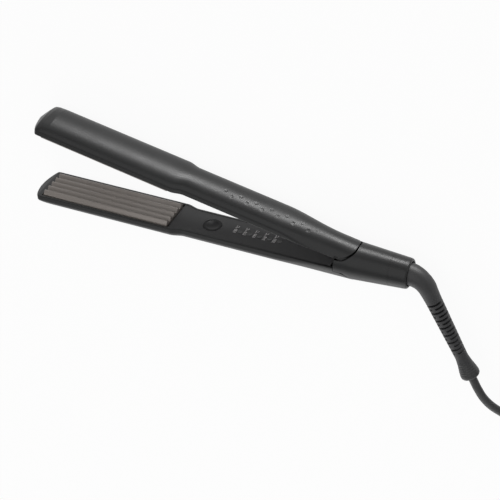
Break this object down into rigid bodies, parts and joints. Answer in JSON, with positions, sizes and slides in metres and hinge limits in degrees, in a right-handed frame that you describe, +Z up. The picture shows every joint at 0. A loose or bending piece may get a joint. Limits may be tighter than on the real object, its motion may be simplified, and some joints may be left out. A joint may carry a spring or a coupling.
{
  "type": "hair crimper",
  "caption": "Hair crimper with two hinged arms, corrugated heating plates, a power button, a round hinge housing and a mains lead on a swivelling strain relief.",
  "frame": {"origin": "centre of the crimper's own box, on the surface on which it lies on its side", "axes": "+X along the lower arm towards the lead, +Y from the lower arm to the upper arm, +Z up, across the arms"},
  "size_m": [0.5457, 0.1815, 0.0286],
  "materials": {
    "soft_plastic": "soft-touch",
    "cover_plastic": "fine grain",
    "plate_coating": "dark anodised, satin",
    "seat_plastic": "moulded",
    "ceramic": "ceramic, unglazed",
    "mica": "sheet",
    "steel": "zinc plated",
    "board": "printed board",
    "board_part": "moulded",
    "light_guide": "clear",
    "button_plastic": "satin",
    "cord_rubber": "matt",
    "tie_rubber": "matt",
    "plug_plastic": "moulded",
    "pin_metal": "nickel plated"
  },
  "bodies": {
    "lower_arm": {"lower_shell": "soft_plastic", "lower_cover": "cover_plastic", "lower_plate": "plate_coating", "lower_plate_seat": "seat_plastic", "lower_heater": "ceramic", "lower_insulator": "mica", "thermal_fuse": "steel", "circuit_board": "board", "board_parts": "board_part", "light_guides": "light_guide", "hinge_housing": "soft_plastic", "rear_ring": "soft_plastic", "lower_bracket": "steel", "lower_screws": "steel", "hinge_pin": "steel", "arm_spring": "steel"},
    "power_button": {"power_button": "button_plastic"},
    "upper_arm": {"upper_shell": "soft_plastic", "upper_cover": "cover_plastic", "upper_plate": "plate_coating", "upper_plate_seat": "seat_plastic", "upper_heater": "ceramic", "upper_insulator": "mica", "temperature_sensor": "steel", "upper_bracket": "steel", "upper_screws": "steel"},
    "lead": {"cord_swivel": "seat_plastic", "strain_relief": "cord_rubber", "power_cord": "cord_rubber", "cord_hank": "cord_rubber", "cord_tie": "tie_rubber", "plug_body": "plug_plastic", "plug_pins": "pin_metal"}
  },
  "joints": [
    {"name": "arm_hinge", "type": "hinge", "parent": "lower_arm", "child": "upper_arm", "pos_m": [0.10215, -0.02107, 0.0143], "axis": [0, 0, 1], "range_deg": [0, 11.6], "stiffness_Nm_per_rad": 0.6, "springref_deg": -17.19},
    {"name": "button_press", "type": "slide", "parent": "lower_arm", "child": "power_button", "axis": [0, -1, 0], "range_m": [0, 0.0006], "stiffness_N_per_m": 500, "springref_m": -0.001},
    {"name": "lead_swivel", "type": "hinge", "parent": "lower_arm", "child": "lead", "pos_m": [0.12215, -0.02186, 0.0143], "axis": [1, 0, 0], "continuous": true}
  ]
}
